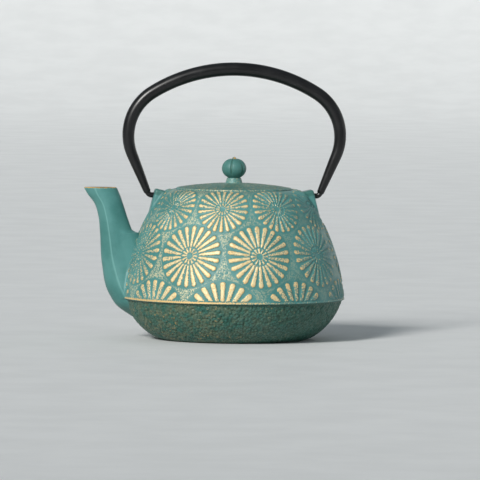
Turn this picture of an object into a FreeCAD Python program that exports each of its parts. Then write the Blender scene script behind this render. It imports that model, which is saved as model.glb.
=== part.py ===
"""Cast iron teapot with a bail handle, a lid and an infuser basket.

Frame: millimetres, +Z up, origin in the middle of the flat base on the pot's axis. The spout points
along -X, and the bail stands upright in the XZ plane.
"""
import FreeCAD, Part
import math
import os

import Sketcher

# Driving dimensions, in millimetres and degrees: alias, value, meaning.
POT_SIZES = [
    ("foot_radius", 55, "corner between the flat base and the bowl, before rounding"),
    ("foot_rounding", 8, "rounding of that corner"),
    ("bowl_bulge", 48.6, "radius of the bowl's curve, seen from the side"),
    ("bowl_top_radius", 81.5, "bowl just under the ridge"),
    ("ridge_underside", 30.4, "height of the ridge's lower face"),
    ("ridge_radius", 83.25, "upper body where it meets the ridge's bead"),
    ("ridge_thickness", 1.8, "height of the bead"),
    ("ridge_rounding", 0.95, "radius of the bead's nose"),
    ("side_bulge", 158, "radius of the upper body's curve, seen from the side"),
    ("shoulder_radius", 52.8, "corner between side and shoulder, before rounding"),
    ("shoulder_height", 110.6, "height of that corner"),
    ("shoulder_rounding", 12, "rounding of that corner"),
    ("mouth_edge_radius", 45.2, "where the shoulder meets the mouth's flat land"),
    ("mouth_height", 112.3, "top of the mouth's land"),
    ("wall", 3.25, "thickness of the casting"),
    ("floor_thickness", 4.5, "thickness of the base"),
    ("cavity_floor_radius", 50, "flat part of the inside floor"),
    ("cavity_top_radius", 51.8, "cavity just under the shoulder"),
    ("cavity_top", 105.4, "height of the cavity's ceiling"),
    ("throat_radius", 39.5, "opening that the infuser basket passes through"),
    ("ledge_height", 108.6, "ledge that the basket's flange rests on"),
    ("rebate_radius", 43.8, "recess around the ledge"),
    ("opening_bottom", 34, "lowest point of the hole from the cavity into the spout"),
    ("opening_top", 66, "highest point of that hole"),
    ("opening_radius", 9, "rounded ends of that hole"),
    ("shell_foot", 0, "height of the flat base"),
    ("wall_top", 88, "height where the wall's ring ends and the shoulder's begins"),
    ("ring_span", 180, "side of a square that clears the pot all round"),
]
LUG_SIZES = [
    ("pivot_height", 107.7, "axis that the bail swings about"),
    ("lug_width", 18, "size of an ear along Y"),
    ("lug_face_top", 59.2, "outer face of an ear at its top, from the pot's axis"),
    ("lug_face_bottom", 65, "outer face of an ear at its foot"),
    ("lug_top", 112.6, "height of an ear at its outer face"),
    ("lug_top_inside", 110.7, "height of an ear where it meets the shoulder"),
    ("lug_bottom", 88, "lowest height of an ear's blank"),
    ("lug_root", 46, "inner end of an ear's blank, inside the pot's wall"),
    ("lug_rounding", 3, "rounding of the ear's upper edges"),
    ("hook_hole_radius", 2.08, "hole for the bail's hook"),
    ("hook_hole_end", 56, "bottom of that hole, from the pot's axis"),
]
BAIL_SIZES = [
    ("crown_height", 202.4, "middle of the tube at the top of the bail"),
    ("crown_bend", 116, "bend radius along the crown"),
    ("corner_bend", 38, "bend radius at the widest part"),
    ("half_span", 79.5, "middle of the tube at the widest part, from the pot's axis"),
    ("leg_lean", 22.8, "angle of a leg from the vertical"),
    ("foot_bend", 3.4, "bend radius of a hook"),
    ("tube_radius", 4.95, "tube along the crown"),
    ("leg_top_radius", 4.1, "tube at the top of a straight leg"),
    ("leg_end_radius", 2.6, "tube at the foot of a leg"),
    ("tube_wall", 0.7, "sheet thickness of the tube"),
    ("hook_radius", 2, "solid hook rod"),
    ("hook_tip", 56.4, "free end of a hook, from the pot's axis"),
    ("hook_plug", 9, "length of the hook rod held inside the tube"),
]
LID_SIZES = [
    ("lid_radius", 43.3, "outside of the lid"),
    ("lid_seat", 109.7, "underside of the lid's rim"),
    ("lid_rim_top", 113.4, "top of the lid's edge"),
    ("lid_rim_rounding", 0.8, "rounding of the lid's upper edge"),
    ("lid_crown", 117, "top of the dome where the collar starts"),
    ("lid_dome_bulge", 260, "radius of the dome, seen from the side"),
    ("skirt_radius", 35.4, "outside of the skirt that drops into the basket"),
    ("skirt_inner_radius", 33.2, "inside of the skirt"),
    ("skirt_bottom", 103.6, "lower edge of the skirt"),
    ("lid_inside_top", 113.6, "underside of the dome at its middle"),
    ("lid_inside_edge", 111.6, "underside of the dome beside the skirt"),
    ("collar_foot_radius", 6.4, "foot of the collar under the knob"),
    ("collar_top_radius", 5.3, "top of that collar"),
    ("collar_top", 120.9, "height of that collar's top"),
    ("vent_radius", 1.5, "steam vent behind the knob"),
    ("vent_distance", 17, "steam vent, from the pot's axis"),
    ("knob_neck_radius", 4.6, "flat underneath the knob"),
    ("knob_radius", 9.2, "widest part of the knob"),
    ("knob_middle", 128, "height of the widest part"),
    ("knob_shoulder", 135.3, "height where the knob's small tip starts"),
    ("knob_tip_radius", 1.6, "foot of the tip"),
    ("knob_top", 136.7, "top of the tip"),
    ("knob_bulge", 7.5, "radius of the knob's curves, seen from the side"),
    ("screw_radius", 2, "screw that holds the knob"),
    ("screw_top", 129.5, "free end of the screw"),
    ("screw_head_radius", 4.2, "head of the screw"),
    ("screw_head_height", 1.9, "thickness of the head"),
    ("washer_radius", 5.6, "washer under the head"),
    ("washer_thickness", 0.8, "thickness of the washer"),
    ("bore_clearance", 0.1, "gap around the screw's shank"),
]
INFUSER_SIZES = [
    ("flange_radius", 43.3, "outside of the basket's flange"),
    ("flange_thickness", 0.9, "thickness of the flange"),
    ("band_radius", 36.9, "outside of the basket's collar band"),
    ("band_thickness", 0.6, "thickness of the band and of the foot ring"),
    ("band_bottom", 97, "lower edge of the collar band"),
    ("mesh_thickness", 0.5, "thickness of the woven wire"),
    ("mesh_top", 107, "upper edge of the woven wall"),
    ("basket_bottom", 57.5, "underside of the basket"),
    ("foot_ring_height", 4.5, "height of the ring at the basket's foot"),
    ("foot_ring_lip", 31.5, "inner edge of the ring under the floor"),
]
# The spout in level slices: height, keel (its most outward point), crease between keel and side, half
# width at the crease, back (its most inward point).
SPOUT_SLICES = [
    ("toe", 16.5, -75.4, -66, 9, -50),
    ("heel", 24, -86.4, -76, 14.5, -55),
    ("ridge", 32.5, -92.5, -81.5, 15.5, -60),
    ("waist", 56, -98.6, -90, 11.2, -66),
    ("crotch", 80, -100.3, -93.7, 9, -75.8),
    ("neck", 92, -101.6, -95.8, 8.3, -80.1),
    ("throat", 102, -105, -98.8, 7.5, -83.4),
    ("beak", 108, -109.6, -102.4, 7, -85.6),
    ("lip", 113.3, -112.6, -104.5, 6.6, -88),
]
SLICE_MEASURES = ("height", "keel", "crease", "width", "back")
SPOUT_SIZES = [
    ("spout_wall", 2.6, "thickness of the spout"),
    ("channel_floor", 33, "lowest point of the spout's channel"),
    ("end_fullness", 0.62, "how far round a slice's rounded ends stay wide, as a share of their width"),
    ("back_share", 0.86, "width of a slice's back as a share of its front"),
    ("lip_overrun", 1, "how far the channel's cutter runs past the lip"),
]


class Size:
    """A number that carries the spreadsheet formula it is worked out by."""

    def __init__(self, value, formula):
        self.value = value
        self.formula = formula

    def joined(self, sign, other, value):
        text = other.formula if isinstance(other, Size) else repr(float(other))
        return Size(value, "(%s %s %s)" % (self.formula, sign, text))

    def __add__(self, other):
        return self.joined("+", other, self.value + number(other))

    def __sub__(self, other):
        return self.joined("-", other, self.value - number(other))

    def __mul__(self, other):
        return self.joined("*", other, self.value * number(other))

    def __truediv__(self, other):
        return self.joined("/", other, self.value / number(other))


def number(quantity):
    return quantity.value if isinstance(quantity, Size) else float(quantity)


def write_sheet(doc):
    """Fill the spreadsheet and return its cells as Sizes, by alias."""
    sheet = doc.addObject("Spreadsheet::Sheet", "Sizes")
    rows = POT_SIZES + LUG_SIZES + BAIL_SIZES + LID_SIZES + INFUSER_SIZES + SPOUT_SIZES
    for name, *values in SPOUT_SLICES:
        for measure, value in zip(SLICE_MEASURES, values):
            rows.append(("%s_%s" % (name, measure), value, "spout slice at the %s: %s" % (name, measure)))
    sizes = {}
    for row, (alias, value, meaning) in enumerate(rows, start=1):
        sheet.set("A%d" % row, meaning)
        sheet.set("B%d" % row, str(value))
        sheet.setAlias("B%d" % row, alias)
        sizes[alias] = Size(float(value), "Sizes." + alias)
    doc.recompute()
    return sizes


doc = FreeCAD.newDocument("teapot")
size = write_sheet(doc)


# ---------------------------------------------------------------- sketching

def bind(thing, path, quantity):
    """Tie one property to a spreadsheet formula."""
    thing.setExpression(path, quantity.formula)


def new_body(name):
    body = doc.addObject("PartDesign::Body", name)
    body.Label = name
    return body


def new_sketch(body, name, role):
    """A sketch on one of the body's own origin planes."""
    sketch = body.newObject("Sketcher::SketchObject", name)
    plane = next(item for item in body.Origin.OriginFeatures if item.Role == role)
    sketch.AttachmentSupport = [(plane, "")]
    sketch.MapMode = "FlatFace"
    return sketch


def fix_point(sketch, edge, end, x, y):
    """Hold one end of an edge at (x, y); a plain 0 puts it on the axis."""
    for kind, axis, place in (("DistanceX", -2, x), ("DistanceY", -1, y)):
        if isinstance(place, Size):
            rule = Sketcher.Constraint(kind, -1, 1, edge, end, place.value)
            bind(sketch, "Constraints[%d]" % sketch.addConstraint(rule), place)
        else:
            sketch.addConstraint(Sketcher.Constraint("PointOnObject", edge, end, axis))


def arc_between(start, finish, radius):
    """The short arc that turns left from start to finish."""
    chord = finish - start
    left = FreeCAD.Vector(-chord.y, chord.x, 0).normalize()
    rise = math.sqrt(radius ** 2 - (chord.Length / 2) ** 2)
    centre = (start + finish) / 2 + left * rise
    angles = [math.atan2(point.y - centre.y, point.x - centre.x) for point in (start, finish)]
    if angles[1] < angles[0]:
        angles[1] += 2 * math.pi
    return Part.ArcOfCircle(Part.Circle(centre, FreeCAD.Vector(0, 0, 1), radius), *angles)


def draw_outline(sketch, corners):
    """Draw a closed outline, counter-clockwise. A corner is (x, y), or (x, y, radius) where the edge
    that leaves it is an arc bulging outward."""
    points = [FreeCAD.Vector(number(corner[0]), number(corner[1]), 0) for corner in corners]
    following = points[1:] + points[:1]
    for corner, start, finish in zip(corners, points, following):
        if len(corner) == 3:
            edge = sketch.addGeometry(arc_between(start, finish, number(corner[2])))
        else:
            edge = sketch.addGeometry(Part.LineSegment(start, finish))
        if edge:
            sketch.addConstraint(Sketcher.Constraint("Coincident", edge - 1, 2, edge, 1))
    sketch.addConstraint(Sketcher.Constraint("Coincident", len(corners) - 1, 2, 0, 1))
    for edge, corner in enumerate(corners):
        fix_point(sketch, edge, 1, corner[0], corner[1])
        if len(corner) == 3:
            rule = Sketcher.Constraint("Radius", edge, number(corner[2]))
            bind(sketch, "Constraints[%d]" % sketch.addConstraint(rule), corner[2])


def draw_circle(sketch, x, y, radius):
    middle = FreeCAD.Vector(number(x), number(y), 0)
    edge = sketch.addGeometry(Part.Circle(middle, FreeCAD.Vector(0, 0, 1), radius.value))
    fix_point(sketch, edge, 3, x, y)
    rule = Sketcher.Constraint("Radius", edge, radius.value)
    bind(sketch, "Constraints[%d]" % sketch.addConstraint(rule), radius)


def turn(body, name, corners, kind="PartDesign::Revolution"):
    """Turn an outline in the XZ plane once round the Z axis."""
    sketch = new_sketch(body, name + "_outline", "XZ_Plane")
    draw_outline(sketch, corners)
    feature = body.newObject(kind, name)
    feature.Profile = sketch
    feature.ReferenceAxis = (sketch, ["V_Axis"])
    feature.Angle = 360
    doc.recompute()
    return feature


def cut_along(body, name, sketch, length, reverse, both_ways=False):
    """Pocket a sketch, and make sure that it removes metal."""
    before = body.Shape.Volume
    feature = body.newObject("PartDesign::Pocket", name)
    feature.Profile = sketch
    feature.Reversed = reverse
    feature.Midplane = both_ways
    bind(feature, "Length", length)
    doc.recompute()
    if body.Shape.Volume >= before:
        raise RuntimeError(name + " cuts nothing")
    return feature


def ring_edge(feature, radius, height):
    """Name of the round edge of that radius at that height."""
    for index, edge in enumerate(feature.Shape.Edges, start=1):
        curve = edge.Curve
        if hasattr(curve, "Radius") and abs(curve.Radius - radius) < 1e-3 \
                and abs(curve.Center.z - height) < 1e-3:
            return "Edge%d" % index
    raise RuntimeError("no edge of radius %s at %s" % (radius, height))


def round_edges(body, name, feature, edges, radius):
    fillet = body.newObject("PartDesign::Fillet", name)
    fillet.Base = (feature, edges)
    bind(fillet, "Radius", radius)
    doc.recompute()
    return fillet


def part_from(name, kind, **links):
    """A Part workbench object that is itself a sub-part."""
    feature = doc.addObject(kind, name)
    feature.Label = name
    for link, target in links.items():
        setattr(feature, link, target)
    doc.recompute()
    return feature


# ---------------------------------------------------------------- pot

def turn_pot_outside(body):
    """The pot's outer form, solid: flat base, round bowl, overhanging ridge bead, side, shoulder."""
    bead_top = size["ridge_underside"] + size["ridge_thickness"]
    outside = turn(body, body.Name + "_outside", [
        (0, 0),
        (size["foot_radius"], 0, size["bowl_bulge"]),
        (size["bowl_top_radius"], size["ridge_underside"]),
        (size["ridge_radius"], size["ridge_underside"], size["ridge_rounding"]),
        (size["ridge_radius"], bead_top, size["side_bulge"]),
        (size["shoulder_radius"], size["shoulder_height"]),
        (size["mouth_edge_radius"], size["mouth_height"]),
        (0, size["mouth_height"]),
    ])
    foot = ring_edge(outside, size["foot_radius"].value, 0)
    rounded_foot = round_edges(body, body.Name + "_foot", outside, [foot], size["foot_rounding"])
    shoulder = ring_edge(rounded_foot, size["shoulder_radius"].value, size["shoulder_height"].value)
    return round_edges(body, body.Name + "_shoulder", rounded_foot, [shoulder], size["shoulder_rounding"])


def make_pot_shell():
    """The hollow shell: cavity, throat, ledge and the hole into the spout."""
    body = new_body("pot_shell")
    turn_pot_outside(body)
    above = size["mouth_height"] + 2
    turn(body, "cavity", [
        (0, size["floor_thickness"]),
        (size["cavity_floor_radius"], size["floor_thickness"], size["bowl_bulge"] - size["wall"]),
        (size["ridge_radius"] - size["wall"], size["ridge_underside"] + size["ridge_thickness"],
         size["side_bulge"] - size["wall"]),
        (size["cavity_top_radius"], size["cavity_top"]),
        (size["throat_radius"], size["cavity_top"]),
        (size["throat_radius"], size["ledge_height"]),
        (size["rebate_radius"], size["ledge_height"]),
        (size["rebate_radius"], above),
        (0, above),
    ], kind="PartDesign::Groove")
    sketch = new_sketch(body, "spout_opening_outline", "YZ_Plane")
    low = size["opening_bottom"] + size["opening_radius"]
    high = size["opening_top"] - size["opening_radius"]
    half = size["opening_radius"]
    left = half * -1
    end_bulge = half * 1.001
    draw_outline(sketch, [(half, low), (half, high, end_bulge), (left, high), (left, low, end_bulge)])
    cut_along(body, "spout_opening", sketch, size["ridge_radius"] + 5, reverse=False)
    return body


def make_shell_rings(shell):
    """The shell as three rings, face to face: bowl with ridge bead, wall, and shoulder with mouth."""
    ridge_top = size["ridge_underside"] + size["ridge_thickness"]
    for name, low, high in (("pot_bowl", size["shell_foot"], ridge_top),
                            ("pot_wall", ridge_top, size["wall_top"]),
                            ("pot_shoulder", size["wall_top"], size["mouth_height"])):
        slab = doc.addObject("Part::Box", name + "_slab")
        bind(slab, "Length", size["ring_span"])
        bind(slab, "Width", size["ring_span"])
        bind(slab, "Height", high - low)
        bind(slab, "Placement.Base.x", size["ring_span"] / -2)
        bind(slab, "Placement.Base.y", size["ring_span"] / -2)
        bind(slab, "Placement.Base.z", low)
        part_from(name, "Part::Common", Base=shell, Tool=slab)


def make_envelope():
    """The pot's outer form without its cavity, which trims what is cast onto the pot."""
    body = new_body("pot_envelope")
    turn_pot_outside(body)
    return body


def spout_slice(keel, crease, half_width, back, height):
    """A level slice of the spout: round keel, flat sides, round back."""
    def corner(x, y):
        return FreeCAD.Vector(x, y, height)

    fullness = size["end_fullness"].value

    def rounded_end(side_x, nose_x, width):
        reach = side_x + (nose_x - side_x) * 4 / 3
        curve = Part.BezierCurve()
        curve.setPoles([corner(side_x, -width), corner(reach, -fullness * width),
                        corner(reach, fullness * width), corner(side_x, width)])
        return curve.toShape()

    back_width = size["back_share"].value * half_width
    back_side = back - fullness * back_width
    edges = [rounded_end(crease, keel, half_width),
             Part.makeLine(corner(crease, half_width), corner(back_side, back_width)),
             rounded_end(back_side, back, back_width),
             Part.makeLine(corner(back_side, -back_width), corner(crease, -half_width))]
    return Part.Wire(Part.__sortEdges__(edges))


def make_spout(envelope):
    """The spout's outer loft less its channel, trimmed where it meets the pot."""
    outer, inner = [], []
    wall = size["spout_wall"].value
    channel_floor = size["channel_floor"].value
    overrun = size["lip_overrun"].value
    for name, *_ in SPOUT_SLICES:
        height, keel, crease, width, back = (size["%s_%s" % (name, measure)].value
                                             for measure in SLICE_MEASURES)
        outer.append(spout_slice(keel, crease, width, back, height))
        if name in ("toe", "heel"):
            continue
        inner_back = back if height < size["crotch_height"].value else back - wall
        inner_height = height + overrun if name == "lip" else max(height, channel_floor)
        inner.append(spout_slice(keel + wall, crease + wall / 2, width - wall, inner_back, inner_height))
    blank = Part.makeLoft(outer, True, False)
    channel = Part.makeLoft(inner, True, False)
    spout = doc.addObject("Part::Feature", "spout")
    spout.Label = "spout"
    spout.Shape = blank.cut(channel).cut(envelope.Shape)
    spout.Placement = FreeCAD.Placement()
    return spout


def make_lugs(envelope):
    """Two ears: leaning blocks with rounded upper edges and a blind hole for the hook."""
    body = new_body("lug_blank")
    sketch = new_sketch(body, "lug_side", "XZ_Plane")
    draw_outline(sketch, [
        (size["lug_root"], size["lug_bottom"]),
        (size["lug_face_bottom"], size["lug_bottom"]),
        (size["lug_face_top"], size["lug_top"]),
        (size["lug_root"], size["lug_top_inside"]),
    ])
    pad = body.newObject("PartDesign::Pad", "lug_block")
    pad.Profile = sketch
    pad.Midplane = True
    bind(pad, "Length", size["lug_width"])
    doc.recompute()
    half = size["lug_width"].value / 2
    upper = []
    for index, edge in enumerate(pad.Shape.Edges, start=1):
        ends = [vertex.Point for vertex in edge.Vertexes]
        if all(abs(abs(end.y) - half) < 1e-3 and end.z > size["pivot_height"].value for end in ends) \
                and abs(ends[0].x - ends[1].x) > 1:
            upper.append("Edge%d" % index)
    round_edges(body, "lug_rounding", pad, upper, size["lug_rounding"])
    hole = new_sketch(body, "hook_hole_outline", "YZ_Plane")
    draw_circle(hole, 0, size["pivot_height"], size["hook_hole_radius"])
    hole.AttachmentOffset = FreeCAD.Placement(FreeCAD.Vector(0, 0, size["hook_hole_end"].value),
                                              FreeCAD.Rotation())
    bind(hole, "AttachmentOffset.Base.z", size["hook_hole_end"])
    cut_along(body, "hook_hole", hole, size["lug_face_bottom"] - size["hook_hole_end"] + 5, reverse=True)
    rear = part_from("rear_lug", "Part::Cut", Base=body, Tool=envelope)
    part_from("front_lug", "Part::Mirroring", Source=rear, Normal=FreeCAD.Vector(1, 0, 0))


# ---------------------------------------------------------------- bail

class BailRoute:
    """Centre line of one half of the bail in the XZ plane: crown arc, corner arc, leg, foot bend."""

    def __init__(self):
        lean = math.radians(size["leg_lean"].value)
        crown, corner, foot = (size[name].value for name in ("crown_bend", "corner_bend", "foot_bend"))
        self.top = size["crown_height"].value
        self.corner_x = size["half_span"].value - corner
        spread = math.asin(self.corner_x / (crown - corner))
        self.corner_z = self.top - crown + (crown - corner) * math.cos(spread)
        self.crown_end = (self.corner_x + corner * math.sin(spread),
                          self.corner_z + corner * math.cos(spread))
        leg_top = self.on_corner(size["leg_lean"].value)
        pivot = size["pivot_height"].value
        turning_x = leg_top[0] - (leg_top[1] - pivot) * math.tan(lean)
        tangent = foot * math.tan((math.pi / 2 - lean) / 2)
        self.pin_start = turning_x - tangent
        self.leg_end = (turning_x + tangent * math.sin(lean), pivot + tangent * math.cos(lean))
        self.halfway_down = ((leg_top[0] + self.leg_end[0]) / 2, (leg_top[1] + self.leg_end[1]) / 2)
        self.along_leg = FreeCAD.Vector(math.sin(lean), 0, math.cos(lean))

    def on_corner(self, degrees):
        """Point of the corner arc so many degrees below the widest part."""
        angle = math.radians(degrees)
        bend = size["corner_bend"].value
        return self.corner_x + bend * math.cos(angle), self.corner_z - bend * math.sin(angle)


route = BailRoute()


def section_at(body, name, place, tilt, radius):
    """A round section in a plane through `place`, tilted about Y from level."""
    sketch = new_sketch(body, name, "XY_Plane")
    sketch.AttachmentOffset = FreeCAD.Placement(
        FreeCAD.Vector(place[0], 0, place[1]), FreeCAD.Rotation(FreeCAD.Vector(0, 1, 0), tilt))
    draw_circle(sketch, 0, 0, radius)
    return sketch


def draw_crown(body, name):
    """Path from the crown's middle to the widest part: two arcs that meet tangentially."""
    path = new_sketch(body, name, "XZ_Plane")
    corner_bend, crown_bend = size["corner_bend"], size["crown_bend"]
    normal = FreeCAD.Vector(0, 0, 1)
    crown_centre = FreeCAD.Vector(0, route.top - crown_bend.value, 0)
    corner_centre = FreeCAD.Vector(route.corner_x, route.corner_z, 0)
    turned = math.atan2(route.crown_end[1] - crown_centre.y, route.crown_end[0])
    path.addGeometry(Part.ArcOfCircle(Part.Circle(crown_centre, normal, crown_bend.value),
                                      turned, math.pi / 2))
    path.addGeometry(Part.ArcOfCircle(Part.Circle(corner_centre, normal, corner_bend.value), 0, turned))
    path.addConstraint(Sketcher.Constraint("Tangent", 1, 2, 0, 1))
    path.addConstraint(Sketcher.Constraint("PointOnObject", 0, 3, -2))
    fix_point(path, 0, 2, 0, size["crown_height"])
    for edge, bend in enumerate((crown_bend, corner_bend)):
        rule = Sketcher.Constraint("Radius", edge, bend.value)
        bind(path, "Constraints[%d]" % path.addConstraint(rule), bend)
    path.addConstraint(Sketcher.Constraint("Horizontal", 1, 1, 1, 3))
    rule = Sketcher.Constraint("DistanceX", -1, 1, 1, 1, size["half_span"].value)
    bind(path, "Constraints[%d]" % path.addConstraint(rule), size["half_span"])
    return path


def sweep_crown(body, name, kind, radius):
    """A round section at the crown's middle, carried along the path."""
    path = draw_crown(body, name + "_path")
    section = new_sketch(body, name + "_section", "YZ_Plane")
    draw_circle(section, 0, size["crown_height"], radius)
    doc.recompute()
    pipe = body.newObject(kind, name)
    pipe.Profile = section
    pipe.Spine = (path, ["Edge1", "Edge2"])
    doc.recompute()
    return pipe


def loft_leg(body, name, kind, radii):
    """The tapered lower part, from the widest part through the leg's top to its foot."""
    lean = size["leg_lean"].value
    widest, leg_top, leg_end = radii
    places = [(route.on_corner(0), 0, widest),
              (route.on_corner(lean / 2), lean / 2, (widest + leg_top) / 2),
              (route.on_corner(lean), lean, leg_top),
              (route.halfway_down, lean, (leg_top + leg_end) / 2),
              (route.leg_end, lean, leg_end)]
    sections = [section_at(body, "%s_section_%d" % (name, index), place, tilt, radius)
                for index, (place, tilt, radius) in enumerate(places, start=1)]
    doc.recompute()
    loft = body.newObject(kind, name)
    loft.Profile = sections[0]
    loft.Sections = sections[1:]
    doc.recompute()
    return loft


def make_handle_tube():
    """Half of the hollow tube, mirrored about the YZ plane."""
    body = new_body("handle_tube")
    radii = [size["tube_radius"], size["leg_top_radius"], size["leg_end_radius"]]
    bores = [radius - size["tube_wall"] for radius in radii]
    bores[-1] = size["hook_radius"] + 0.02
    features = [sweep_crown(body, "crown", "PartDesign::AdditivePipe", radii[0]),
                loft_leg(body, "leg", "PartDesign::AdditiveLoft", radii),
                sweep_crown(body, "crown_bore", "PartDesign::SubtractivePipe", bores[0]),
                loft_leg(body, "leg_bore", "PartDesign::SubtractiveLoft", bores)]
    mirrored = body.newObject("PartDesign::Mirrored", "other_half")
    mirrored.Originals = features
    plane = next(item for item in body.Origin.OriginFeatures if item.Role == "YZ_Plane")
    mirrored.MirrorPlane = (plane, [""])
    body.Tip = mirrored
    doc.recompute()
    return body


def make_hooks():
    """Solid rods: plugged into a leg's foot, bent inward, and pinned in the ear's hole."""
    body = new_body("rear_hook")
    path = new_sketch(body, "hook_path", "XZ_Plane")
    pivot = size["pivot_height"].value
    plug = route.along_leg * size["hook_plug"].value
    foot = FreeCAD.Vector(route.leg_end[0], route.leg_end[1], 0)
    inside = foot + FreeCAD.Vector(plug.x, plug.z, 0)
    pin = FreeCAD.Vector(route.pin_start, pivot, 0)
    tip = FreeCAD.Vector(size["hook_tip"].value, pivot, 0)
    centre = pin + FreeCAD.Vector(0, size["foot_bend"].value, 0)
    bend = Part.ArcOfCircle(Part.Circle(centre, FreeCAD.Vector(0, 0, 1), size["foot_bend"].value),
                            -math.pi / 2, -math.radians(size["leg_lean"].value))
    path.addGeometry([Part.LineSegment(tip, pin), bend, Part.LineSegment(foot, inside)])
    section = new_sketch(body, "hook_section", "YZ_Plane")
    section.AttachmentOffset = FreeCAD.Placement(FreeCAD.Vector(0, 0, tip.x), FreeCAD.Rotation())
    bind(section, "AttachmentOffset.Base.z", size["hook_tip"])
    draw_circle(section, 0, size["pivot_height"], size["hook_radius"])
    doc.recompute()
    pipe = body.newObject("PartDesign::AdditivePipe", "hook_rod")
    pipe.Profile = section
    pipe.Spine = (path, ["Edge1", "Edge2", "Edge3"])
    doc.recompute()
    part_from("front_hook", "Part::Mirroring", Source=body, Normal=FreeCAD.Vector(1, 0, 0))


# ---------------------------------------------------------------- lid

def make_lid():
    """Domed disc with a skirt below and a conical collar above, bored for the knob's screw."""
    body = new_body("lid")
    bore = size["screw_radius"] + size["bore_clearance"]
    dome = turn(body, "lid_form", [
        (bore, size["lid_inside_top"]),
        (size["skirt_inner_radius"], size["lid_inside_edge"]),
        (size["skirt_inner_radius"], size["skirt_bottom"]),
        (size["skirt_radius"], size["skirt_bottom"]),
        (size["skirt_radius"], size["lid_seat"]),
        (size["lid_radius"], size["lid_seat"]),
        (size["lid_radius"], size["lid_rim_top"], size["lid_dome_bulge"]),
        (size["collar_foot_radius"], size["lid_crown"]),
        (size["collar_top_radius"], size["collar_top"]),
        (bore, size["collar_top"]),
    ])
    rim = ring_edge(dome, size["lid_radius"].value, size["lid_rim_top"].value)
    round_edges(body, "lid_rim_edge", dome, [rim], size["lid_rim_rounding"])
    vent = new_sketch(body, "vent_outline", "XY_Plane")
    draw_circle(vent, 0, size["vent_distance"], size["vent_radius"])
    cut_along(body, "vent", vent, size["lid_crown"] * 2 + 10, reverse=False, both_ways=True)
    return body


def make_lid_knob():
    """Round knob, narrower at its neck and drawn up to a small tip, with a blind bore below."""
    body = new_body("lid_knob")
    turn(body, "knob_form", [
        (size["screw_radius"], size["collar_top"]),
        (size["knob_neck_radius"], size["collar_top"], size["knob_bulge"]),
        (size["knob_radius"], size["knob_middle"], size["knob_bulge"]),
        (size["knob_tip_radius"], size["knob_shoulder"]),
        (0, size["knob_top"]),
        (0, size["screw_top"]),
        (size["screw_radius"], size["screw_top"]),
    ])
    return body


def make_knob_fixings():
    """Screw and washer that hold the knob from inside the lid."""
    under_washer = size["lid_inside_top"] - size["washer_thickness"]
    screw = new_body("knob_screw")
    turn(screw, "screw_form", [
        (0, under_washer - size["screw_head_height"]),
        (size["screw_head_radius"], under_washer - size["screw_head_height"]),
        (size["screw_head_radius"], under_washer),
        (size["screw_radius"], under_washer),
        (size["screw_radius"], size["screw_top"]),
        (0, size["screw_top"]),
    ])
    washer = new_body("knob_washer")
    bore = size["screw_radius"] + size["bore_clearance"]
    turn(washer, "washer_form", [
        (bore, under_washer),
        (size["washer_radius"], under_washer),
        (size["washer_radius"], size["lid_inside_top"] - size["bore_clearance"] * 4),
        (bore, size["lid_inside_top"] - size["bore_clearance"]),
    ])


# ---------------------------------------------------------------- infuser

def make_infuser():
    """Basket in four pieces: flanged rim with a collar band, woven wall, woven floor, foot ring."""
    band_inside = size["band_radius"] - size["band_thickness"]
    mesh_inside = band_inside - size["mesh_thickness"]
    flange_top = size["ledge_height"] + size["flange_thickness"]
    turn(new_body("infuser_rim"), "rim_form", [
        (band_inside, size["band_bottom"]),
        (size["band_radius"], size["band_bottom"]),
        (size["band_radius"], size["ledge_height"]),
        (size["flange_radius"], size["ledge_height"]),
        (size["flange_radius"], flange_top),
        (band_inside, flange_top),
    ])
    floor_bottom = size["basket_bottom"] + size["band_thickness"]
    floor_top = floor_bottom + size["mesh_thickness"]
    turn(new_body("infuser_mesh_wall"), "wall_form", [
        (mesh_inside, floor_top),
        (band_inside, floor_top),
        (band_inside, size["mesh_top"]),
        (mesh_inside, size["mesh_top"]),
    ])
    turn(new_body("infuser_mesh_floor"), "floor_form", [
        (0, floor_bottom),
        (band_inside, floor_bottom),
        (band_inside, floor_top),
        (0, floor_top),
    ])
    ring_top = size["basket_bottom"] + size["foot_ring_height"]
    turn(new_body("infuser_base_ring"), "ring_form", [
        (size["foot_ring_lip"], size["basket_bottom"]),
        (size["band_radius"], size["basket_bottom"]),
        (size["band_radius"], ring_top),
        (band_inside, ring_top),
        (band_inside, floor_bottom),
        (size["foot_ring_lip"], floor_bottom),
    ])


# ---------------------------------------------------------------- build and write

SUB_PARTS = [
    "pot_bowl", "pot_wall", "pot_shoulder", "spout", "front_lug", "rear_lug",
    "handle_tube", "front_hook", "rear_hook",
    "lid", "lid_knob", "knob_screw", "knob_washer",
    "infuser_rim", "infuser_mesh_wall", "infuser_mesh_floor", "infuser_base_ring",
]

make_shell_rings(make_pot_shell())
pot_envelope = make_envelope()
make_spout(pot_envelope)
make_lugs(pot_envelope)
make_handle_tube()
make_hooks()
make_lid()
make_lid_knob()
make_knob_fixings()
make_infuser()
doc.recompute()

for item in doc.Objects:
    faults = [state for state in item.State if state in ("Invalid", "Error")]
    if faults:
        raise RuntimeError("%s is %s" % (item.Name, ", ".join(faults)))

os.makedirs("parts", exist_ok=True)
for label in SUB_PARTS:
    shape = doc.getObjectsByLabel(label)[0].Shape
    if shape.isNull() or not shape.isValid():
        raise RuntimeError(label + " has no valid shape")
    shape.exportStep("parts/%s.step" % label)
    box = shape.BoundBox
    print("%-20s %9.1f mm3  %d solid(s)  x %.1f..%.1f  y %.1f..%.1f  z %.1f..%.1f" % (
        label, shape.Volume, len(shape.Solids), box.XMin, box.XMax, box.YMin, box.YMax, box.ZMin, box.ZMax))
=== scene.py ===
import math

import bmesh
import bpy
import numpy as np
from mathutils import Matrix, Vector, noise


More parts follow.
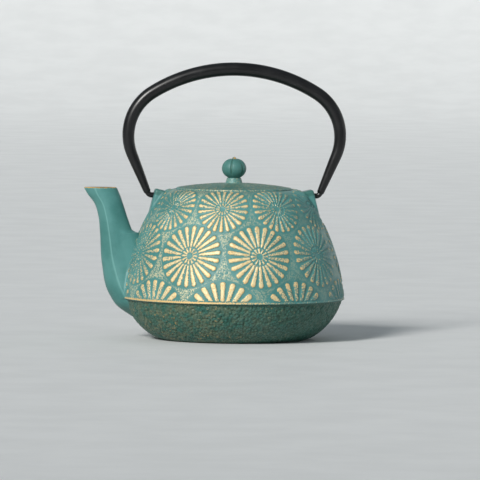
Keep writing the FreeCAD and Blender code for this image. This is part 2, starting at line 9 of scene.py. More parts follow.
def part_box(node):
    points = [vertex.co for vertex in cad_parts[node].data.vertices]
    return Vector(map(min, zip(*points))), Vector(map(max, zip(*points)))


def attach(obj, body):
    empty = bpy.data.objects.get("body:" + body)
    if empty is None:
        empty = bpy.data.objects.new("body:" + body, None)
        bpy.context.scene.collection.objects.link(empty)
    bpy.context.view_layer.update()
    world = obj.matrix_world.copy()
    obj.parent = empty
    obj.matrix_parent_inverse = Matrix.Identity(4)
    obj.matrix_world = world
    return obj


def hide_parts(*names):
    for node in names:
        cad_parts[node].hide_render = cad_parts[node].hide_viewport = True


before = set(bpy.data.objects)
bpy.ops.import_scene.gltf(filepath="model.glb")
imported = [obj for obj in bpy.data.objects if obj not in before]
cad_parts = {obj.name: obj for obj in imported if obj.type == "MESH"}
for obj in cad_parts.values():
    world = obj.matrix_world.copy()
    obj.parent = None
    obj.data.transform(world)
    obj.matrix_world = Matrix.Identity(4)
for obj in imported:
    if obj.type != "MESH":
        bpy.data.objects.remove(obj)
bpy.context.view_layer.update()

# Lengths are in millimetres until a mesh is made; X points away from the spout, Z up.
MM = 0.001
HOLE_SIDES = 24


def node_box(name):
    """Lowest and highest corners of a CAD node, in millimetres."""
    low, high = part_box(name)
    return np.array(low) / MM, np.array(high) / MM


# ---------------------------------------------------------------- sizes

MOUTH_HEIGHT = node_box("pot_shoulder")[1][2]
RIDGE_TOP = node_box("pot_bowl")[1][2]
BEAD_REACH = node_box("pot_bowl")[1][0]
RIDGE_RADIUS = BEAD_REACH - 0.95
RIDGE_UNDERSIDE = RIDGE_TOP - 1.8
WALL = 3.25
SIDE_BULGE = 158
BOWL_BULGE = 48.6
SHOULDER = (52.8, MOUTH_HEIGHT - 1.7)
MOUTH_EDGE = 45.2
REBATE_RADIUS = 43.8
THROAT_RADIUS = 39.5
LEDGE = MOUTH_HEIGHT - 3.7
CEILING = MOUTH_HEIGHT - 6.9
FLOOR = 4.5
FOOT_RADIUS = 55
BOWL_TOP_RADIUS = 81.5

HOOK_RADIUS = 2.0
HOOK_HOLE_RADIUS = 2.08
PIVOT_HEIGHT = node_box("front_hook")[0][2] + HOOK_RADIUS
HOOK_TIP = node_box("rear_hook")[0][0]
TUBE_RADIUS = 4.95
CROWN_HEIGHT = node_box("handle_tube")[1][2] - TUBE_RADIUS

LID_RADIUS = node_box("lid")[1][0]
COLLAR_TOP = node_box("lid")[1][2]
LID_FOOT = node_box("lid")[0][2]
KNOB_TIP = node_box("lid_knob")[1][2]
KNOB_RADIUS = node_box("lid_knob")[1][0]

# Flower relief: rows of nine round flowers, angles measured from -Y towards +X.
FLOWERS_PER_ROW = 9
FLOWER_PITCH = 2 * math.pi / FLOWERS_PER_ROW
# (height of the centre, radius, angle of one flower in degrees)
FLOWER_ROWS = [(99.9, 19.0, -91.3), (65.6, 23.8, -68.7), (19.5, 28.0, -88.8)]
# Petals of a flower of this radius: count, inner end, outer end, half width at each end. The outer
# ones end on the flower's rim.
FULL_FLOWER = 23.8
OUTER_PETALS = (22, 7.1, FULL_FLOWER, 0.80, 1.86)
INNER_PETALS = (12, 2.3, 6.6, 0.46, 0.98)

# How far the relief stands out from the casting, and how deep the knob's grooves are.
PETAL_RELIEF = 0.65
STIPPLE_RELIEF = 0.24
HAMMER_RELIEF = 0.52
LID_RELIEF = 0.42
GROOVE_DEPTH = 0.75


# ---------------------------------------------------------------- curves

def run(start, end, step, bulge):
    """Points from start to end. The run swells to the right of travel by that radius, or to the
    left where it is negative, and is straight where it is zero."""
    start, end = np.array(start, float), np.array(end, float)
    chord = np.linalg.norm(end - start)
    count = max(1, int(math.ceil(chord / step)))
    share = np.linspace(0, 1, count + 1)[:, None]
    if not bulge:
        return start + (end - start) * share
    along = (end - start) / chord
    right = np.array([along[1], -along[0]]) * math.copysign(1, bulge)
    radius = abs(bulge)
    centre = (start + end) / 2 - right * math.sqrt(radius ** 2 - chord ** 2 / 4)
    half = math.asin(chord / 2 / radius)
    angles = (share * 2 - 1) * half
    return centre + radius * (np.cos(angles) * right + np.sin(angles) * along)


def shorten(points, length):
    """The run without its last stretch of that length."""
    steps = np.linalg.norm(np.diff(points, axis=0), axis=1)
    left = steps[::-1].cumsum()[::-1]
    keep = np.append(left > length + 1e-6, False)
    last = int(keep.sum())
    spare = left[last - 1] - length if last else 0
    if last == 0:
        return points[:1]
    share = min(1.0, spare / steps[last - 1])
    cut = points[last - 1] + (points[last] - points[last - 1]) * share
    return np.vstack([points[:last], cut])


def outline(corners):
    """A smooth-cornered line through (r, z, rounding, step, bulge) corners."""
    runs = []
    for here, there in zip(corners, corners[1:]):
        runs.append(run(here[:2], there[:2], here[3], here[4]))
    for index in range(1, len(runs)):
        rounding = corners[index][2]
        if not rounding:
            continue
        before, after = runs[index - 1], runs[index]
        ahead = after[1] - after[0]
        behind = before[-1] - before[-2]
        cosine = np.dot(ahead, behind) / np.linalg.norm(ahead) / np.linalg.norm(behind)
        setback = rounding * math.tan(math.acos(max(-1.0, min(1.0, cosine))) / 2)
        before = shorten(before, setback)
        after = shorten(after[::-1], setback)[::-1]
        corner = np.array(corners[index][:2], float)
        count = max(4, int(2 * setback / corners[index][3]))
        share = np.linspace(0, 1, count + 1)[1:-1, None]
        bend = before[-1] * (1 - share) ** 2 + corner * 2 * share * (1 - share) + after[0] * share ** 2
        runs[index - 1] = np.vstack([before, bend])
        runs[index] = after
    line = [runs[0]]
    for piece_of_line in runs[1:]:
        line.append(piece_of_line if np.linalg.norm(line[-1][-1] - piece_of_line[0]) > 1e-6
                    else piece_of_line[1:])
    return np.vstack(line)


def outward(line):
    """Unit normals on the right of travel."""
    ahead = np.gradient(line, axis=0)
    ahead /= np.linalg.norm(ahead, axis=1)[:, None]
    return np.stack([ahead[:, 1], -ahead[:, 0]], axis=1)


def lengths_along(line):
    steps = np.linalg.norm(np.diff(line, axis=0), axis=1)
    return np.concatenate([[0], steps.cumsum()])


def through(places, values, at):
    """A smooth curve through a few values, read at other places."""
    places, values = np.array(places, float), np.array(values, float)
    slopes = np.gradient(values, places)
    index = np.clip(np.searchsorted(places, at) - 1, 0, len(places) - 2)
    step = places[index + 1] - places[index]
    share = (at - places[index]) / step
    rest = 1 - share
    return (values[index] * (1 + 2 * share) * rest ** 2 + slopes[index] * step * share * rest ** 2
            + values[index + 1] * (1 + 2 * rest) * share ** 2
            - slopes[index + 1] * step * rest * share ** 2)


def ease(low, high, value):
    """0 below low, 1 above high, smooth between."""
    share = np.clip((value - low) / (high - low), 0, 1)
    return share * share * (3 - 2 * share)


# ---------------------------------------------------------------- meshes

def ring_faces(rows, columns, start=0):
    """Quads between neighbouring rings of points."""
    low = start + np.arange(rows - 1)[:, None] * columns
    here = np.arange(columns)[None, :]
    there = (here + 1) % columns
    quads = np.stack([low + here, low + there, low + columns + there, low + columns + here], axis=-1)
    return quads.reshape(-1, 4).tolist()


def capped(rows, columns):
    """Quads between rings, with a face over the first and the last."""
    last = (rows - 1) * columns
    return ring_faces(rows, columns) + [list(range(columns))[::-1], list(range(last, last + columns))]


def fan(columns, start, pole, above):
    """Triangles from a ring to a pole, which lies after the ring along the line or before it."""
    here = np.arange(columns)
    there = (here + 1) % columns
    if above:
        return [[start + a, start + b, pole] for a, b in zip(here.tolist(), there.tolist())]
    return [[start + b, start + a, pole] for a, b in zip(here.tolist(), there.tolist())]


def turned(line, angles):
    """The line turned about Z: an array of rings."""
    radius, height = line[:, 0:1], line[:, 1:2]
    return np.stack([radius * np.sin(angles), -radius * np.cos(angles),
                     height + 0 * angles], axis=-1)


def full_turn(columns):
    return np.arange(columns)[None, :] * (2 * math.pi / columns)


def add_piece(name, points, faces, material, body=None, nodes=(), attributes=None,
              sharp=38):
    """A closed mesh as an object. With a body it is a piece that rides on it, without one a cutter."""
    points = np.asarray(points, float).reshape(-1, 3)
    mesh = bpy.data.meshes.new(name)
    mesh.from_pydata((points * MM).tolist(), [], faces)
    set_attributes(mesh, attributes or {})
    mesh.materials.append(material)
    obj = bpy.data.objects.new(name, mesh)
    bpy.context.scene.collection.objects.link(obj)
    work = bmesh.new()
    work.from_mesh(mesh)
    bmesh.ops.remove_doubles(work, verts=work.verts, dist=1e-6)
    bmesh.ops.dissolve_degenerate(work, edges=work.edges, dist=1e-6)
    if work.calc_volume(signed=True) < 0:
        bmesh.ops.reverse_faces(work, faces=work.faces)
    work.to_mesh(mesh)
    work.free()
    smooth_shading(mesh, sharp)
    if body:
        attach(obj, body)
        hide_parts(*nodes)
    return obj


def set_attributes(mesh, fields):
    """Paint values at the points, which the enamel reads."""
    for label, values in fields.items():
        layer = mesh.attributes.new(label, "FLOAT", "POINT")
        layer.data.foreach_set("value", np.asarray(values, np.float32).ravel())


def smooth_shading(mesh, sharp):
    """Smooth, but for edges sharper than that many degrees."""
    mesh.shade_smooth()
    mesh.set_sharp_from_angle(angle=math.radians(sharp))


def modify(obj, kind, **settings):
    """Change a piece's mesh by a modifier."""
    modifier = obj.modifiers.new(kind.lower(), kind)
    for label, value in settings.items():
        setattr(modifier, label, value)
    with bpy.context.temp_override(object=obj, active_object=obj, selected_objects=[obj]):
        bpy.ops.object.modifier_apply(modifier=modifier.name)


def subtract(obj, cutter, sharp=38):
    """Cut another mesh out of a piece and drop the cutter."""
    modify(obj, "BOOLEAN", operation="DIFFERENCE", solver="EXACT", object=cutter)
    bpy.data.objects.remove(cutter)
    smooth_shading(obj.data, sharp)


def straight_cutter(name, ends, material):
    """A bar between two equal outlines."""
    return add_piece(name, np.vstack(ends), capped(2, len(ends[0])), material)


def circle(radius, middle):
    """Outline of a drilled hole."""
    turn = np.arange(HOLE_SIDES) * (2 * math.pi / HOLE_SIDES)
    return np.column_stack([radius * np.cos(turn), middle + radius * np.sin(turn)])


def tube(path, radii, across, sides, closed=False):
    """Points and faces of a round bar along a path; across is one direction square to the path."""
    across = np.tile(np.asarray(across, float), (len(path), 1))
    if closed:
        ahead = np.roll(path, -1, axis=0) - np.roll(path, 1, axis=0)
    else:
        ahead = np.gradient(path, axis=0)
    ahead /= np.linalg.norm(ahead, axis=1)[:, None]
    across -= ahead * np.sum(across * ahead, axis=1)[:, None]
    across /= np.linalg.norm(across, axis=1)[:, None]
    upward = np.cross(ahead, across)
    angles = np.arange(sides) * (2 * math.pi / sides)
    radii = np.broadcast_to(np.asarray(radii, float), (len(path),))[:, None, None]
    points = path[:, None] + radii * (np.cos(angles)[None, :, None] * across[:, None]
                                      + np.sin(angles)[None, :, None] * upward[:, None])
    faces = capped(len(path), sides)
    if closed:
        last = (len(path) - 1) * sides
        faces[-2:] = [[last + k, last + (k + 1) % sides, (k + 1) % sides, k] for k in range(sides)]
    return points.reshape(-1, 3), faces


def join(parts):
    """Several (points, faces) pairs as one."""
    points, faces, start = [], [], 0
    for some_points, some_faces in parts:
        points.append(some_points)
        faces += [[start + index for index in face] for face in some_faces]
        start += len(some_points)
    return np.vstack(points), faces


# ---------------------------------------------------------------- materials

class Paint:
    """Short-hand for one material's nodes."""

    def __init__(self, name):
        self.material = bpy.data.materials.new(name)
        self.material.use_nodes = True
        self.tree = self.material.node_tree
        self.shader = self.tree.nodes["Principled BSDF"]
        self.place = self.tree.nodes.new("ShaderNodeTexCoord").outputs["Object"]

    def put(self, socket, value):
        if isinstance(value, bpy.types.NodeSocket):
            self.tree.links.new(value, socket)
        elif isinstance(value, tuple) and len(value) == 3 and socket.type == "RGBA":
            socket.default_value = (*value, 1)
        else:
            socket.default_value = value

    def set(self, **values):
        for label, value in values.items():
            self.put(self.shader.inputs[label.replace("_", " ")], value)

    def node(self, kind, **settings):
        made = self.tree.nodes.new(kind)
        for label, value in settings.items():
            setattr(made, label, value)
        return made

    def attribute(self, label):
        return self.node("ShaderNodeAttribute", attribute_name=label).outputs["Fac"]

    def grain(self, size, detail):
        """Noise, 0..1, with features of that size in millimetres."""
        made = self.node("ShaderNodeTexNoise")
        self.put(made.inputs["Vector"], self.place)
        made.inputs["Scale"].default_value = 1 / (size * MM)
        made.inputs["Detail"].default_value = detail
        made.inputs["Roughness"].default_value = 0.55
        return made.outputs["Fac"]

    def steps(self, value, low, high, low_out=0.0, high_out=1.0):
        made = self.node("ShaderNodeMapRange", interpolation_type="SMOOTHSTEP")
        for label, given in (("Value", value), ("From Min", low), ("From Max", high),
                             ("To Min", low_out), ("To Max", high_out)):
            self.put(made.inputs[label], given)
        return made.outputs["Result"]

    def combine(self, kind, first, second):
        made = self.node("ShaderNodeMath", operation=kind, use_clamp=kind != "SUBTRACT")
        self.put(made.inputs[0], first)
        self.put(made.inputs[1], second)
        return made.outputs[0]

    def times(self, first, second):
        return self.combine("MULTIPLY", first, second)

    def more(self, first, second):
        return self.combine("MAXIMUM", first, second)

    def mix(self, share, first, second):
        made = self.node("ShaderNodeMix", data_type="RGBA")
        self.put(made.inputs[0], share)
        self.put(made.inputs[6], first)
        self.put(made.inputs[7], second)
        return made.outputs[2]

    def bump(self, height, depth, strength):
        """Surface grain of that depth in millimetres."""
        made = self.node("ShaderNodeBump")
        made.inputs["Distance"].default_value = depth * MM
        made.inputs["Strength"].default_value = strength
        self.put(made.inputs["Height"], height)
        self.put(self.shader.inputs["Normal"], made.outputs["Normal"])


GOLD_CREAM = (0.84, 0.72, 0.43)
GOLD_ORANGE = (0.72, 0.38, 0.08)
GOLD_PIT = (0.30, 0.30, 0.17)
TEAL = (0.058, 0.214, 0.202)
TEAL_LIGHT = (0.093, 0.280, 0.268)
# The darker green that low mixes in: the bowl's darker enamel, deepened as painted shade.
TEAL_DARK = (0.018, 0.098, 0.070)
TEAL_BOWL = (0.030, 0.108, 0.080)
TEAL_CREASE_HIGHLIGHT = (0.21, 0.45, 0.42)
BRONZE_VEIL = (0.15, 0.145, 0.075)


def cast_green():
    """Satin green enamel with gold wiped over the relief. Attributes: gold is solid gilding, warm
    turns it orange, dust is sparse gilding, low mixes in a darker green, and the crease attribute
    mixes in a paler green as a painted highlight. The darker green is the bowl's darker enamel
    deepened as painted shade, painted shade on the spout's keel face, the ears' tops and the
    knob's grooves, and a darker lid dome and knob."""
    paint = Paint("cast_green_enamel")
    gold, warm = paint.attribute("gold"), paint.attribute("warm")
    dust, low = paint.attribute("dust"), paint.attribute("low")
    mottle = paint.grain(24, 4)
    speckle = paint.grain(0.9, 2)
    grit = paint.grain(2.4, 3)
    green = paint.mix(paint.steps(mottle, 0.35, 0.68), TEAL, TEAL_LIGHT)
    green = paint.mix(paint.times(paint.steps(grit, 0.45, 0.75), 0.30), green, TEAL_LIGHT)
    dark = paint.mix(paint.steps(mottle, 0.42, 0.62), TEAL_DARK, TEAL_BOWL)
    veil = paint.times(paint.steps(paint.grain(6, 3), 0.36, 0.64), paint.times(warm, 0.55))
    dark = paint.mix(veil, dark, BRONZE_VEIL)
    # Painted shade, partly over the bowl's darker enamel: the darker green where low is set.
    green = paint.mix(low, green, dark)
    # Painted highlight: a paler green along the spout's creases.
    green = paint.mix(paint.times(paint.attribute("crease_highlight"), 0.45), green, TEAL_CREASE_HIGHLIGHT)
    left = paint.combine("ADD", paint.times(gold, 0.46), paint.combine("SUBTRACT", speckle, 0.25))
    gilding = paint.times(paint.steps(left, 0.42, 0.58), paint.steps(gold, 0.02, 0.2))
    specks = paint.times(paint.steps(speckle, 0.45, 0.56), paint.steps(grit, 0.30, 0.50))
    gilding = paint.more(gilding, paint.times(dust, paint.times(specks, 0.72)))
    blush = paint.times(paint.steps(grit, 0.40, 0.66), paint.times(gold, 0.5))
    tone = paint.mix(paint.more(warm, blush), GOLD_CREAM, GOLD_ORANGE)
    tone = paint.mix(paint.steps(paint.grain(1.1, 2), 0.60, 0.70), tone, GOLD_PIT)
    tone = paint.mix(paint.times(low, 0.95), tone, GOLD_ORANGE)
    paint.set(Base_Color=paint.mix(gilding, green, tone),
              Metallic=paint.times(gilding, 0.25),
              Roughness=paint.steps(paint.more(gilding, speckle), 0.2, 0.9, 0.40, 0.56))
    paint.bump(paint.combine("ADD", speckle, paint.times(grit, 0.6)), 0.14, 0.7)
    return paint.material


def enamel_black():
    paint = Paint("black_enamel_lining")
    grit = paint.grain(1.6, 3)
    tone = paint.mix(paint.steps(grit, 0.35, 0.7), (0.012, 0.012, 0.013), (0.03, 0.03, 0.032))
    paint.set(Base_Color=tone, Roughness=paint.steps(grit, 0.3, 0.8, 0.28, 0.42))
    paint.bump(grit, 0.06, 0.5)
    return paint.material


def satin_black():
    paint = Paint("satin_black_coat")
    grit, patches = paint.grain(0.7, 2), paint.grain(14, 3)
    tone = paint.mix(paint.steps(patches, 0.35, 0.7),
                     (0.0035, 0.0035, 0.004), (0.007, 0.007, 0.008))
    paint.set(Base_Color=tone, Roughness=paint.steps(patches, 0.3, 0.7, 0.29, 0.36))
    paint.bump(grit, 0.010, 0.4)
    return paint.material


def steel(name, roughness):
    """Brushed stainless steel: fine streaks that run around the part."""
    paint = Paint(name)
    stretched = paint.node("ShaderNodeMapping")
    stretched.inputs["Scale"].default_value = (1, 1, 14)
    paint.put(stretched.inputs["Vector"], paint.place)
    paint.place = stretched.outputs["Vector"]
    lines, patches = paint.grain(1.2, 2), paint.grain(9, 3)
    tone = paint.mix(paint.steps(lines, 0.3, 0.7), (0.50, 0.49, 0.47), (0.68, 0.67, 0.65))
    paint.set(Base_Color=tone, Metallic=1.0,
              Roughness=paint.steps(patches, 0.3, 0.7, roughness - 0.07, roughness + 0.07))
    paint.bump(lines, 0.02, 0.4)
    return paint.material


def floor_finish():
    paint = Paint("pale_floor")
    patches = paint.grain(60, 4)
    tone = paint.mix(paint.steps(patches, 0.3, 0.7), (0.70, 0.715, 0.72), (0.74, 0.755, 0.76))
    paint.set(Base_Color=tone, Roughness=0.75)
    return paint.material


GREEN = cast_green()
LINING = enamel_black()
BLACK = satin_black()
STEEL = steel("brushed_steel", 0.35)
WIRE = steel("woven_wire_steel", 0.30)


# ---------------------------------------------------------------- pot shell

def pot_outside(step):
    """Half section of the pot's outer form, from the middle of the base to the mouth's edge."""
    return [
        (0, 0, 0, 6, 0),
        (FOOT_RADIUS, 0, 8, step, BOWL_BULGE),
        (BOWL_TOP_RADIUS, RIDGE_UNDERSIDE, 0, 0.4, 0),
        (RIDGE_RADIUS, RIDGE_UNDERSIDE, 0, 0.22, 0.95),
        (RIDGE_RADIUS, RIDGE_TOP, 0, step, SIDE_BULGE),
        (*SHOULDER, 12, step, 0),
        (MOUTH_EDGE, MOUTH_HEIGHT, 0.7, 0.4, 0),
        (REBATE_RADIUS, MOUTH_HEIGHT, 0.3, 0.8, 0),
        (REBATE_RADIUS, LEDGE, 0, 1.2, 0),
    ]


def pot_inside(step):
    """Half section from the ledge inwards, down the throat and round the cavity."""
    return [
        (41.2, LEDGE, 0, step, 0),
        (THROAT_RADIUS, LEDGE, 0.4, step, 0),
        (THROAT_RADIUS, CEILING, 0.4, step, 0),
        (51.8, CEILING, 4, step, WALL - SIDE_BULGE),
        (RIDGE_RADIUS - WALL, RIDGE_TOP, 0, step, WALL - BOWL_BULGE),
        (50, FLOOR, 0, step * 2, 0),
        (2, FLOOR, 0, step, 0),
    ]


SILHOUETTE = outline(pot_outside(0.5))
SILHOUETTE_LENGTHS = lengths_along(SILHOUETTE)
HIGHEST = int(np.argmax(SILHOUETTE[:, 1]))
# The outer form alone, from the foot to the shoulder, for what is cast onto it.
RISING = SILHOUETTE[:HIGHEST][SILHOUETTE[:HIGHEST, 1] > 0]


def pot_radius(height):
    """Radius of the pot's outer form at a height."""
    return np.interp(height, RISING[:, 1], RISING[:, 0])


def length_at(height):
    """Distance along the silhouette to a height on the upper body; it runs on below the ridge."""
    upper = SILHOUETTE[:, 1] > RIDGE_TOP - 1e-6
    upper[HIGHEST + 1:] = False
    heights, lengths = SILHOUETTE[upper][:, 1], SILHOUETTE_LENGTHS[upper]
    if height < heights[0]:
        return lengths[0] - (heights[0] - height)
    return np.interp(height, heights, lengths)


def petal_ring(rho, turn, scale, petals):
    """Distance outside a ring of tapering petals with round ends, and place along the petal."""
    count = petals[0]
    inner, outer, narrow, wide = (size * scale for size in petals[1:])
    pitch = 2 * math.pi / count
    offset = (turn + pitch / 2) % pitch - pitch / 2
    forward, aside = rho * np.cos(offset), rho * np.sin(offset)
    share = np.clip((forward - inner) / (outer - inner), 0, 1)
    half = narrow + (wide - narrow) * share
    nearest = np.clip(forward, inner + narrow, outer - wide)
    return np.hypot(forward - nearest, aside) - half, share


def flower(across, along, radius):
    """Distance outside one flower's petals, place along the petal, and distance outside its rim."""
    rho, turn = np.hypot(across, along), np.arctan2(across, along)
    scale = radius / FULL_FLOWER
    outer, share = petal_ring(rho, turn, scale, OUTER_PETALS)
    inner, _ = petal_ring(rho, turn, scale, INNER_PETALS)
    return np.minimum(outer, inner), np.where(outer < inner, share, 0), rho - radius


def flower_field(angles, lengths, radii):
    """All over the pot: distance outside the nearest petal, place along it, and how much the
    ground between the flowers shows, from 0 inside a flower to 1."""
    gap = np.full(np.broadcast(angles, lengths).shape, 99.0)
    moat, reach = gap.copy(), np.zeros_like(gap)
    for height, radius, first in FLOWER_ROWS:
        away = (angles - math.radians(first) + FLOWER_PITCH / 2) % FLOWER_PITCH - FLOWER_PITCH / 2
        distance, share, beyond = flower(away * radii, lengths - length_at(height), radius)
        reach = np.where(distance < gap, share, reach)
        gap, moat = np.minimum(gap, distance), np.minimum(moat, beyond)
    return gap, reach, ease(0.5, 2.2, moat)


def cell_distances(points, size):
    """Distance to the nearest cell centre, for cells of that size."""
    return np.array([noise.voronoi(Vector(point))[0][0] for point in (points / size).tolist()])


def soft_noise(points, size):
    return np.array([noise.noise(Vector(point)) for point in (points / size).tolist()])


# The dust, and the gold on the ridge and the bowl, lie further towards the spout.
DUST_DRIFT = math.radians(26)
# The bowl is hammered outside this radius; the base it stands on is plain.
HAMMERED_FROM = 47


def gilding_strength(angles, heights):
    """How much of the gold was left by two strokes of the cloth, which went easier on the shoulder."""
    stroke = (0.5 + 0.5 * np.cos(2 * (angles + math.radians(13)))) ** 1.25
    return (0.24 + 0.76 * stroke) * (1 - 0.25 * ease(84, 100, heights))


def shell_surface(skin, angles):
    """Relief height and paint attributes of the pot's outside, ring by ring of the silhouette."""
    radii, heights = SILHOUETTE[:, 0:1], SILHOUETTE[:, 1:2]
    lengths = SILHOUETTE_LENGTHS[:, None]
    shape = skin.shape[:2]
    outside = np.arange(len(SILHOUETTE))[:, None] < HIGHEST
    above = np.broadcast_to(outside & (heights > RIDGE_TOP + 0.1), shape)
    below = outside & (heights < RIDGE_UNDERSIDE - 0.05) & (radii > HAMMERED_FROM)
    below = np.broadcast_to(below, shape)

    # Flowers, with slightly uneven edges. They fade out at the ridge, at the shoulder and under the
    # ears, where the hooks' ends come close to the casting.
    gap, reach, ground = flower_field(angles, lengths, radii)
    wander = np.zeros(shape)
    wander[above] = soft_noise(skin[above], 5.0) * 0.22 + soft_noise(skin[above], 1.5) * 0.14
    gap = gap + wander
    edge_fade = ease(0.1, 1.3, heights - RIDGE_TOP) * ease(1.0, 2.4, lengths[HIGHEST] - lengths)
    edge_fade = edge_fade * ease(3.5, 6.0, np.hypot(skin[..., 1], heights - PIVOT_HEIGHT))
    height_map = np.where(above, PETAL_RELIEF * ease(-0.30, 0.60, -gap) * edge_fade, 0)

    # Gold on the petals, orange towards their edges and tips, and dust on the ground between.
    wiped = gilding_strength(angles, heights)
    drifted = gilding_strength(angles + DUST_DRIFT, heights)
    kept = np.clip(0.92 * wiped + 0.34 * ease(0.70, 1.0, reach), 0, 1)
    gold = np.where(above, ease(-0.12, 0.22, -gap) * edge_fade * kept, 0)
    rimmed = (1 - ease(0.12, 0.70, -gap)) * (0.4 + 0.6 * reach)
    warm = np.where(above, np.maximum(rimmed, 0.7 * (1 - wiped)) * ease(-0.3, 0, -gap), 0)
    dust = np.where(above, ground * drifted, 0)
    stipple = np.zeros(shape)
    dusted = above & (dust > 0.02)
    stipple[dusted] = 0.6 - cell_distances(skin[dusted], 1.7)
    height_map += STIPPLE_RELIEF * stipple * dust * edge_fade

    # The hammered bowl, which is smooth at the foot and at the ridge.
    hammer = np.zeros(shape)
    hammer[below] = 1 - (cell_distances(skin[below], 1.9) / 0.60) ** 2
    fade_in = ease(0.3, 3.0, heights) * ease(0.2, 1.4, RIDGE_UNDERSIDE - heights)
    height_map += HAMMER_RELIEF * hammer * fade_in
    # The bowl and the base take the darker green, partly their darker enamel and partly painted shade,
    # with more painted shade in the hammered hollows.
    low = np.where(below | (heights < RIDGE_UNDERSIDE + 0.3), 1 - 0.20 * ease(0.1, 0.8, hammer), 0.0)
    patches = np.zeros(shape)
    patches[below] = (ease(0.05, 0.25, soft_noise(skin[below], 2.3))
                      * ease(-0.3, 0.2, soft_noise(skin[below], 14)))
    dust = np.where(below, ease(0.35, 0.85, hammer) * patches * drifted, dust)

    # The thin gilded line along the ridge.
    nose = ease(RIDGE_RADIUS - 0.15, RIDGE_RADIUS + 0.15, radii) * ease(-1.5, -1.0, heights - RIDGE_TOP)
    nose = np.minimum(nose * 1.15 * drifted, 1)
    gold = np.maximum(gold, nose)
    warm = np.where(below, drifted, np.maximum(warm, nose * 0.6))
    return height_map, {"gold": gold, "warm": warm, "dust": dust, "low": low * outside}


def make_shell():
    """The cast shell: a fine outside, and a coarser enamelled cavity joined on at the ledge."""
    columns, inner_share = 1080, 4
    angles = full_turn(columns)
    skin = turned(SILHOUETTE, angles)
    height_map, fields = shell_surface(skin, angles)
    skin = skin + turned(outward(SILHOUETTE), angles) * height_map[..., None]
    keep = SILHOUETTE[:, 0] > 1
    skin = skin[keep]
    rows = len(skin)

    inside = outline(pot_inside(2.4))
    few = columns // inner_share
    cavity = turned(inside, full_turn(few))
    start = rows * columns
    faces = ring_faces(rows, columns)
    for index in range(few):
        rim = [start - columns + (index * inner_share + k) % columns for k in range(inner_share + 1)]
        faces.append(rim + [start + (index + 1) % few, start + index])
    lining_from = len(faces)
    faces += ring_faces(len(inside), few, start)
    floor_pole = start + len(inside) * few
    base_pole = floor_pole + 1
    faces += fan(few, floor_pole - few, floor_pole, above=True)
    lining_to = len(faces)
    faces += fan(columns, 0, base_pole, above=False)
    points = np.vstack([skin.reshape(-1, 3), cavity.reshape(-1, 3), [[0, 0, FLOOR], [0, 0, 0]]])

    unpainted = np.zeros(len(points) - start)
    attributes = {label: np.concatenate([field[keep].ravel(), unpainted])
                  for label, field in fields.items()}
    shell = add_piece("pot_shell", points, faces, GREEN, "pot",
                      ("pot_bowl", "pot_wall", "pot_shoulder"), attributes)
    shell.data.materials.append(LINING)
    indices = np.zeros(len(shell.data.polygons), np.int32)
    indices[lining_from:lining_to] = 1
    shell.data.polygons.foreach_set("material_index", indices)
    subtract(shell, spout_opening_cutter())


def spout_opening_cutter():
    """The rounded slot between the cavity and the spout's channel."""
    half, bottom, top = 9, 34, 66
    turn = np.linspace(0, math.pi, 17)
    across, rise = half * np.cos(turn), half * np.sin(turn)
    ring = np.vstack([np.column_stack([across, top - half + rise]),
                      np.column_stack([-across, bottom + half - rise])])
    ends = [np.column_stack([np.full(len(ring), x), ring]) for x in (-RIDGE_RADIUS - 5, -60)]
    return straight_cutter("opening_cutter", ends, LINING)


# ---------------------------------------------------------------- spout

# Level slices: height, keel (the front edge), crease beside it, half width, back.
SPOUT_SLICES = [
    (11.0, -66.0, -57.0, 6.5, -46.0),
    (16.5, -75.4, -66.0, 9.0, -50.0),
    (24.0, -86.4, -76.0, 14.5, -55.0),
    (32.5, -92.5, -81.5, 15.5, -60.0),
    (56.0, -98.6, -90.0, 11.2, -66.0),
    (80.0, -100.3, -93.7, 9.0, -75.8),
    (92.0, -101.6, -95.8, 8.3, -80.1),
    (102.0, -105.0, -98.8, 7.5, -83.4),
    (108.0, -109.6, -102.4, 7.0, -85.6),
    (113.3, -112.6, -104.5, 6.6, -88.0),
]
KEEL_FULLNESS = 0.42
BACK_FULLNESS = 0.50
BACK_ROUNDING = 1.0
BACK_SHARE = 0.86
SPOUT_WALL = 2.6
KEEL_POINTS, SIDE_POINTS, BACK_POINTS = 25, 20, 17
SIDE_SWELL = 0.7
# Pieces cast onto the pot widen within a flare of it and end this deep in its wall.
SPOUT_FLARE, EAR_FLARE = 2.2, 2.4
BURIED = 1.6
# Where the spout's back turns into the pot: top and bottom of the bend, and how far it reaches.
CROTCH_TOP, CROTCH_LOW, CROTCH_REACH = 82.5, 79.3, 6.0


def rounded_end(side, nose, width, fullness, count):
    """Half-round end of a slice, from +width to -width."""
    reach = side + (nose - side) * 4 / 3
    share = np.linspace(0, 1, count)
    rest = 1 - share
    x = side * (rest ** 3 + share ** 3) + reach * 3 * (share * rest ** 2 + share ** 2 * rest)
    y = width * (rest ** 3 - share ** 3 + fullness * 3 * (share * rest ** 2 - share ** 2 * rest))
    return np.column_stack([x, y])


def slice_ring(keel, crease, width, back):
    """One slice: keel from +Y to -Y, side, back, side."""
    back_width = BACK_SHARE * width
    back_side = back - BACK_ROUNDING * back_width
    front = rounded_end(crease, keel, width, KEEL_FULLNESS, KEEL_POINTS)
    rear = rounded_end(back_side, back, back_width, BACK_FULLNESS, BACK_POINTS)[::-1]
    swell = SIDE_SWELL * np.sin(np.linspace(0, math.pi, SIDE_POINTS + 2))[1:-1, None] * [0, 1]
    return np.vstack([front, np.linspace(front[-1], rear[0], SIDE_POINTS + 2)[1:-1] - swell, rear,
                      np.linspace(rear[-1], front[0], SIDE_POINTS + 2)[1:-1] + swell])


def slice_values(heights):
    """Keel, crease, half width and back at those heights."""
    table = np.array(SPOUT_SLICES)
    return [through(table[:, 0], table[:, column], heights) for column in range(1, 5)]


